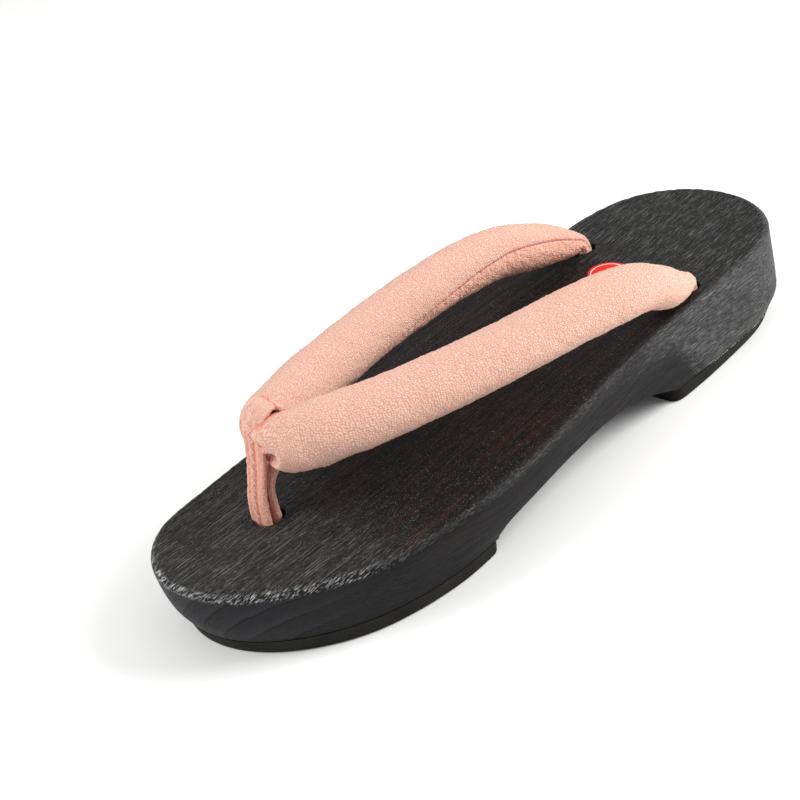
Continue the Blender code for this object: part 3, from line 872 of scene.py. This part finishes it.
class GETA_OT_rubber_pads(bpy.types.Operator):
    """Makes the two rubber pads and the glue specks in the heel's joint"""
    bl_idname = "geta.rubber_pads"
    bl_label = "Rubber pads"

    def execute(self, context):
        settings = context.scene.geta_rubber
        edge = settings.edge / MM
        material = sole_rubber(settings)
        y_all = stations(60, 90)
        bend = 0.5 * math.pi * np.arange(0, 6) / 5
        z = np.concatenate([edge * (1.0 - np.cos(bend)), np.linspace(edge, PAD_TOP, 6)[1:]])
        ease = np.concatenate([edge * (1.0 - np.sin(bend)), np.zeros(5)])
        heel_line = None
        for name, node, forward in (
            ("toe_pad", "toe_rubber_sole", True), ("heel_pad", "heel_rubber_sole", False),
        ):
            keep = (y_all > ARCH_FRONT) if forward else (y_all < ARCH_REAR)
            y = y_all[keep]
            outer, outer_out, inner, inner_out = (line[keep] for line in side_lines(y_all))
            foot = WALL_CURVES["foot"](y)[:, None]
            taper = WALL_CURVES["taper"](y)[:, None]
            from_arch = np.abs(y - (ARCH_FRONT if forward else ARCH_REAR))[:, None]
            corner = PAD_CORNERS[name] * np.exp(-from_arch)
            inset = foot + corner + taper * (1.0 - z / PAD_TOP)[None, :] + ease[None, :]
            walls = []
            for line, out in ((outer, outer_out), (inner, inner_out)):
                flat = line[:, None, :] - out[:, None, :] * inset[..., None]
                height = np.broadcast_to(z, inset.shape)[..., None]
                walls.append(np.concatenate([flat, height], axis=-1))
            left, right = walls
            top, under = between(left, right, 16)
            sections = np.concatenate([left, top, right[:, ::-1], under], axis=1)
            pad = loft(name, sections, None, (forward, not forward))
            sharpen(pad, 40.0)
            finish_piece(pad, material, "sole_rubber", node)
            if not forward:
                heel_line = left[:, -1, :]
        # glue squeezed out in crumbs of about 0.4 mm, along the outer side of the heel
        line = heel_line[(heel_line[:, 1] > GLUE_ALONG[0]) & (heel_line[:, 1] < GLUE_ALONG[1])]
        line = line + np.array([-0.02, 0.0, 0.12])
        glue = plain_material("dried_glue", settings.glue, 0.6, 2.0)
        crumbs = set_along("glue_specks", [line], glue, **GLUE_CRUMB)
        finish_piece(crumbs, glue, "sole_rubber")
        return {"FINISHED"}


def sections_along(centre, across, out, wide, rise):
    """Sections round a path, from each point's place across it and out of it."""
    return centre[:, None, :] + across[:, None, :] * wide[..., None] + out[:, None, :] * rise[..., None]


def arm_grid(kind, front, hole, rows, around):
    """Sections of one padded arm, each starting at the seam."""
    curves = ARM_CURVES[kind]
    side = 1.0 if kind == "inner" else -1.0

    def centre_at(row):
        along = curves["along"](row)
        y = front[1] + (hole[1] - front[1]) * along
        line = front[0] + (REAR_MIDDLE - front[0]) * along
        height = top_height(y) + curves["lift"](row)
        return np.column_stack([line + side * curves["spread"](row), y, height])

    fine = np.linspace(0.0, len(ARM_ALONG) - 1.0, 3400)
    path = centre_at(fine)
    girth = 0.25 * (curves["width"](fine) + curves["height"](fine))
    # closer together where the arm moves, or its girth grows, quickly
    steps = np.linalg.norm(np.diff(path, axis=0), axis=1)
    pace = np.concatenate([[0.0], np.cumsum(np.hypot(steps, np.diff(girth)))])
    length_to = np.concatenate([[0.0], np.cumsum(steps)])
    row = np.interp(np.linspace(0.0, pace[-1], rows), pace, fine)
    run = np.interp(row, fine, length_to)
    centre = centre_at(row)
    ahead = unit(np.gradient(centre, axis=0))
    level = np.column_stack([-ahead[:, 1], ahead[:, 0]]) * side
    # where the tip dives into its hole, the sections keep the last sure direction
    steady = np.where(np.linalg.norm(level, axis=1) > 0.35)[0][-1]
    level = unit(level)
    level[steady + 1:] = level[steady]
    across = np.column_stack([level, np.zeros(rows)])
    upright = unit(np.cross(across, ahead) * -side)
    along = np.clip(curves["along"](row), 0.0, 1.0)
    turn = np.linspace(0.0, 2.0 * math.pi, around, endpoint=False)
    angle = np.radians(SEAM_CURVES["angle"](along))[:, None] + turn[None, :]
    half_width_there = 0.5 * np.maximum(curves["width"](row), 0.8)
    half_height = 0.5 * np.maximum(curves["height"](row), 0.8)
    grid = sections_along(
        centre, across, upright,
        half_width_there[:, None] * np.cos(angle), half_height[:, None] * np.sin(angle))
    return grid, along, turn, run, half_width_there


def keep_own_side(grid, side):
    """Flattens an arm where it is sewn against the other one."""
    start, end = np.array(JOIN_LINE)
    way = unit(end - start)
    across = np.array([-way[1], way[0]]) * side
    across *= np.sign(across[0] * side)
    gap = (grid[..., :2] - start) @ across
    give = JOIN_REACH - JOIN_GAP
    squeezed = JOIN_GAP + give * np.exp(np.minimum(gap - JOIN_REACH, 0.0) / give)
    moved = np.where(gap < JOIN_REACH, squeezed - gap, 0.0)
    grid[..., :2] += across * moved[..., None]
    return grid


def loop_path(rows):
    """Centres, outward directions and widths of the toe loop's strip."""
    fine = np.linspace(0.0, len(LOOP["row"]) - 1.0, 1600)
    hole = HOLES["toe"][0]

    def centre_at(row):
        back = LOOP_CURVES["back"](row)
        return np.column_stack([np.full_like(back, hole[0]), hole[1] - back, LOOP_CURVES["z"](row)])

    path = centre_at(fine)
    run = np.concatenate([[0.0], np.cumsum(np.linalg.norm(np.diff(path, axis=0), axis=1))])
    row = np.interp(np.linspace(0.0, run[-1], rows), run, fine)
    centre = centre_at(row)
    ahead = unit(np.gradient(centre, axis=0))
    across = np.broadcast_to(np.array([1.0, 0.0, 0.0]), centre.shape)
    out = np.cross(ahead, across)
    return centre, across, out, LOOP_CURVES["width"](row), np.interp(row, fine, run), row


class GETA_OT_padded_strap(bpy.types.Operator):
    """Makes the strap's two padded crepe arms and the stitches of their seams"""
    bl_idname = "geta.padded_strap"
    bl_label = "Padded strap"

    def execute(self, context):
        settings = context.scene.geta_strap
        material = crepe(
            "crinkled_strap_crepe", settings.high, settings.low, settings.seam,
            settings.pebble, settings.under)
        relief = settings.relief / MM
        seams = []
        centre, across, outward, width, _, _ = loop_path(60)
        for name, kind, front, side, seed in (
            ("outer_arm", "outer", OUTER_FRONT, -1.0, 21), ("inner_arm", "inner", INNER_FRONT, 1.0, 31),
        ):
            grid, along, turn, run, girth = arm_grid(kind, front, HOLES[kind][0], ARM_ROWS, ARM_AROUND)
            out = surface_normals(grid)
            half_turn = np.where(turn > math.pi, turn - 2.0 * math.pi, turn)
            around = half_turn[None, :] * girth[:, None]
            end = run[-1]
            body = smooth_step(1.0, 8.0, run)[:, None] * smooth_step(end - 2.0, end - 10.0, run)[:, None]
            sewn = smooth_step(0.42, 0.66, along)[:, None]
            groove = np.exp(-(around / SEAM_HALF_WIDTH) ** 2) * body * (0.15 + 0.85 * sewn)
            # gathers square to the seam, longest on its lower side
            pull = np.cos(2.0 * math.pi * run / GATHERS[0] + 1.4 * np.sin(run / 6.0))[:, None]
            pull = pull + 0.7 * np.cos(2.0 * math.pi * run / GATHERS[1] + 2.0)[:, None]
            below = np.exp(-(np.maximum(around - 0.5, 0.0) / 5.0) ** 2) * (around > 0.0)
            above = 0.6 * np.exp(-(around / 1.8) ** 2) * (around <= 0.0)
            tips = smooth_step(end - 20.0, end - 9.0, run)[:, None]
            pleats = np.cos(TIP_PLEATS * turn + 1.3 * np.sin(3.0 * turn))[None, :] * tips
            lift = relief * ripple(grid, 1.1, seed) + 0.8 * relief * ripple(grid, 3.2, seed + 1)
            slack = 0.14 + 0.25 * smooth_step(40.0, 15.0, run)[:, None]
            lift = lift + slack * ripple(grid, 13.0, seed + 2) + 0.14 * pleats
            depth = 0.2 + 0.25 * smooth_step(30.0, 80.0, run)[:, None]
            crumple = 0.09 * pull + 0.13 * ripple(grid, 1.9, seed + 3)
            lift = lift + crumple * (below + above) * body - depth * groove
            grid = keep_own_side(grid + out * lift[..., None], side)
            # painted shade in the seam and where the arm meets the loop
            gap = grid[:40, :, None, :] - centre[None, None, :, :]
            beside = np.abs((gap * across).sum(-1)) - 0.5 * width
            before = np.abs((gap * outward).sum(-1)) - 1.2
            beyond = np.abs((gap * np.cross(across, outward)).sum(-1)) - 1.5
            near = np.maximum(np.maximum(beside, before), beyond).min(-1)
            folds = 0.85 * depth * groove
            folds[:40] = np.maximum(folds[:40], 0.8 * np.exp(-(np.maximum(near, 0.0) / 0.8) ** 2))
            length_run = np.broadcast_to(run[:, None], around.shape)
            marks = {
                "painted_crease_shade": folds,
                "cloth": np.stack([length_run, turn[None, :] * girth[:, None], 0.0 * around], axis=-1),
                "nose": np.broadcast_to(smooth_step(3.4, 1.4, run)[:, None], around.shape),
                # painted light on the cloth below the seam, where the arm's lower side is shaded
                "pale": 0.6 * smooth_step(0.3, 1.8, around) * smooth_step(17.0, 10.0, around) * body,
            }
            arm = loft(name, grid, marks, (True, True))
            cut_away(arm, loop_room(centre, across, outward, width))
            arm.data.shade_smooth()
            nodes = ("strap",) if side < 0.0 else ()
            finish_piece(arm, material, "strap_crepe", *nodes, fill=ARM_FILL)
            keep = (along > 0.5) & (run < end - 12.0)
            seams.append((grid[:, 0, :] + out[:, 0, :] * 0.05)[keep])
        thread = plain_material("cotton_seam_thread", settings.seam, 0.8, 3.0)
        stitches = set_along("seam_stitches", seams, thread, **SEAM_STITCH)
        finish_piece(stitches, thread, "strap_crepe")
        return {"FINISHED"}


def loop_room(centre, across, outward, width):
    """Solid of the strip's path, a little slimmer than the strip, as a cutter."""
    slimmer, half_thick = 0.5, 0.8
    wide = (0.5 * width[:, None] - slimmer) * np.array([[1.0, 1.0, -1.0, -1.0]])
    rise = half_thick * np.array([[-1.0, 1.0, 1.0, -1.0]])
    return loft("room", sections_along(centre, across, outward, wide, rise), None, (True, True))


class GETA_OT_toe_loop(bpy.types.Operator):
    """Makes the folded toe loop with its ribs, hood and loose threads"""
    bl_idname = "geta.toe_loop"
    bl_label = "Toe loop"

    def execute(self, context):
        settings = context.scene.geta_loop
        strap = context.scene.geta_strap
        finer = 0.8
        material = crepe(
            "folded_loop_crepe", settings.high, settings.low, strap.seam,
            strap.pebble * finer, strap.high)
        centre, across, outward, width, run, row = loop_path(260)
        around = 96
        turn = np.linspace(0.0, 2.0 * math.pi, around, endpoint=False)
        thick = 0.5 * settings.thickness / MM
        flat_cos = np.sign(np.cos(turn)) * np.abs(np.cos(turn)) ** 0.75
        flat_sin = np.sign(np.sin(turn)) * np.abs(np.sin(turn)) ** 0.55
        wide = 0.5 * width[:, None] * flat_cos[None, :]
        rise = np.broadcast_to(thick * flat_sin[None, :], wide.shape).copy()
        # two folds run the strip's length, wandering a little
        wander = 0.35 * np.sin(row / 1.7)[:, None]
        position = 2.0 * wide / width[:, None] + 0.12 * wander
        ribs = -np.exp(-((position + 0.12) / 0.16) ** 2) - 0.6 * np.exp(-((position - 0.52) / 0.13) ** 2)
        # they open out into the hood, which is gathered where it meets the arms
        hood = smooth_step(5.3, 6.6, row)[:, None] * smooth_step(10.5, 9.2, row)[:, None]
        ribs = ribs * (1.0 - 0.8 * hood)
        faces_out = (np.sign(flat_sin) * (np.abs(flat_sin) > 0.6))[None, :]
        rise = rise + settings.rib / MM * ribs * faces_out
        grid = sections_along(centre, across, outward, wide, rise)
        out = surface_normals(grid)
        crumple = 0.10 * ripple(grid, 1.1, 51)
        crumple = crumple + (0.10 + 0.20 * hood) * ripple(grid, 2.8, 52, (1.0, 1.6, 1.0))
        grid = grid + out * crumple[..., None]
        tuck = np.exp(-((row[:, None] - 8.5 - 0.3 * position) / 0.12) ** 2)
        # the cloth of the front and of the back lie side by side in the pattern
        width_run = wide + 20.0 * (flat_sin > 0.0)[None, :]
        marks = {
            # painted shade in the grooves of the folds and along the tuck
            "painted_crease_shade": np.clip(-0.45 * ribs + 0.7 * tuck, 0.0, 0.8),
            "cloth": np.stack([np.broadcast_to(run[:, None], wide.shape), width_run, 0.0 * wide], axis=-1),
            "pale": np.broadcast_to(0.3 * hood, wide.shape),
        }
        strip = loft("toe_loop_strip", grid, marks, (True, True))
        finish_piece(strip, material, "loop_crepe", "toe_loop")
        # pale sewing thread that wanders in zigzags down the front of the strip
        pale = plain_material("pale_sewing_thread", settings.thread, 0.6, 3.0)
        front = (row > 2.2) & (row < 7.2)
        step = np.arange(front.sum())
        zigzag = np.where(step // 4 % 2 == 0, step % 4 / 2.0 - 1.0, 1.0 - step % 4 / 2.0)
        swing = 0.13 * width[front] * zigzag
        line = centre[front] + across[front] * (swing + 0.4)[:, None] + outward[front] * (thick + 0.12)
        threads = set_along("loop_threads", [line], pale, **LOOP_STITCH)
        finish_piece(threads, pale, "loop_crepe")
        return {"FINISHED"}


class GETA_OT_sticker(bpy.types.Operator):
    """Makes the plain red oval sticker on the insole, with its thin white ring"""
    bl_idname = "geta.sticker"
    bl_label = "Insole sticker"

    def execute(self, context):
        settings = context.scene.geta_sticker
        half = 0.5 * np.array([settings.across, settings.deep]) / MM
        turn = np.linspace(0.0, 2.0 * math.pi, 96, endpoint=False)
        shape = np.column_stack([np.cos(turn), np.sin(turn)])
        red = plain_material("printed_red_film", settings.red, 0.35, 0.8)
        white = plain_material("printed_white_line", linear("#f2efec"), 0.4, 0.8)
        for name, bands, low, high, material in (
            ("insole_sticker", (0.0, 0.25, 0.5, 0.75, 0.97, 1.0), 0.10, 0.26, red),
            ("sticker_ring", (0.82, 0.865), 0.24, 0.30, white),
        ):
            levels = []
            order = list(bands) + list(bands)[::-1]
            for place, share in enumerate(order):
                flat = shape * half * max(share, 0.001) + np.array(STICKER_PLACE)
                height = high if place < len(bands) else low
                z = top_height(flat[:, 1]) + height
                levels.append(np.column_stack([flat, z]))
            ring = bands[0] > 0.0
            disc = loft(name, np.array(levels), None, (not ring, not ring), ring)
            sharpen(disc, 40.0)
            finish_piece(disc, material, "loop_crepe")
        return {"FINISHED"}


class GETA_OT_studio(bpy.types.Operator):
    """Makes the floor, the soft lights and the photograph's camera"""
    bl_idname = "geta.studio"
    bl_label = "Studio"

    def execute(self, context):
        settings = context.scene.geta_stage
        scene = context.scene
        turn, rise, roll = (math.radians(v) for v in (CAMERA_TURN, CAMERA_RISE, CAMERA_ROLL))
        back = Vector((math.sin(turn) * math.cos(rise), -math.cos(turn) * math.cos(rise), math.sin(rise)))
        right = (-back).cross(Vector((0.0, 0.0, 1.0))).normalized()
        up = right.cross(-back)
        image_x = right * math.cos(roll) + up * math.sin(roll)
        image_y = -right * math.sin(roll) + up * math.cos(roll)
        place = Matrix((image_x, image_y, back)).transposed().to_4x4()
        place.translation = Vector(CAMERA_PLACE) * MM
        lens = bpy.data.cameras.new("photo_camera")
        lens.sensor_fit = "HORIZONTAL"
        lens.sensor_width = SENSOR_WIDTH
        lens.lens = FOCAL_PIXELS / IMAGE_SIDE * SENSOR_WIDTH
        lens.clip_start = 0.01
        camera = add_object("photo_camera", lens)
        camera.matrix_world = place
        scene.camera = camera

        floor_mesh = bpy.data.meshes.new("floor")
        corners = [(x * FLOOR_REACH, y * FLOOR_REACH, 0.0) for x, y in ((-1, -1), (1, -1), (1, 1), (-1, 1))]
        floor_mesh.from_pydata(corners, [], [(0, 1, 2, 3)])
        floor = add_object("floor", floor_mesh)
        # matt white backdrop paper, evenly lit, with no mark of its own
        paper, _, shader, _ = new_material("white_backdrop_paper")
        fill(shader, {"Base Color": settings.floor, "Roughness": 0.95, "Specular IOR Level": 0.1})
        floor_mesh.materials.append(paper)

        world = bpy.data.worlds.new("white_surround")
        world.use_nodes = True
        ground = world.node_tree.nodes["Background"]
        ground.inputs["Color"].default_value = (1.0, 1.0, 1.0, 1.0)
        ground.inputs["Strength"].default_value = settings.sky
        scene.world = world
        scene.view_settings.view_transform = "Standard"
        aim = Vector((0.0, 0.0, 0.02))
        left = -right
        for name, offset, power in (
            ("toe_softbox", left * 0.9 + Vector((0.0, 0.0, 0.45)) + back * 0.15, settings.key),
            ("heel_softbox", right * 0.9 + Vector((0.0, 0.0, 0.55)) + back * 0.1, settings.side),
        ):
            lamp = bpy.data.lights.new(name, "AREA")
            lamp.shape = "DISK"
            lamp.size = SOFTBOX_SIZE
            lamp.energy = power
            light = add_object(name, lamp)
            light.location = aim + offset
            light.rotation_euler = (-offset).to_track_quat("-Z", "Y").to_euler()
        return {"FINISHED"}


class GETA_PT_pieces(bpy.types.Panel):
    """Lists the sandal's pieces and their settings"""
    bl_idname = "GETA_PT_pieces"
    bl_label = "Geta sandal"
    bl_space_type = "VIEW_3D"
    bl_region_type = "UI"
    bl_category = "Geta"

    def draw(self, context):
        for label, operator in PIECES:
            box = self.layout.box()
            box.operator(operator.bl_idname)
            settings = getattr(context.scene, label)
            for name in settings.__annotations__:
                box.prop(settings, name)


GROUPS = {
    "geta_wood": WoodSettings,
    "geta_rubber": RubberSettings,
    "geta_strap": StrapSettings,
    "geta_loop": LoopSettings,
    "geta_sticker": StickerSettings,
    "geta_stage": StageSettings,
}
PIECES = (
    ("geta_stage", GETA_OT_studio),
    ("geta_wood", GETA_OT_wood_block),
    ("geta_rubber", GETA_OT_rubber_pads),
    ("geta_strap", GETA_OT_padded_strap),
    ("geta_loop", GETA_OT_toe_loop),
    ("geta_sticker", GETA_OT_sticker),
)


def register():
    for group in GROUPS.values():
        bpy.utils.register_class(group)
    for label, group in GROUPS.items():
        setattr(bpy.types.Scene, label, PointerProperty(type=group))
    for _, operator in PIECES:
        bpy.utils.register_class(operator)
    bpy.utils.register_class(GETA_PT_pieces)


def unregister():
    bpy.utils.unregister_class(GETA_PT_pieces)
    for _, operator in reversed(PIECES):
        bpy.utils.unregister_class(operator)
    for label, group in reversed(list(GROUPS.items())):
        delattr(bpy.types.Scene, label)
        bpy.utils.unregister_class(group)


def main():
    register()
    bpy.ops.geta.studio()
    bpy.ops.geta.wood_block()
    bpy.ops.geta.rubber_pads()
    bpy.ops.geta.padded_strap()
    bpy.ops.geta.toe_loop()
    bpy.ops.geta.sticker()


if __name__ == "__main__":
    main()
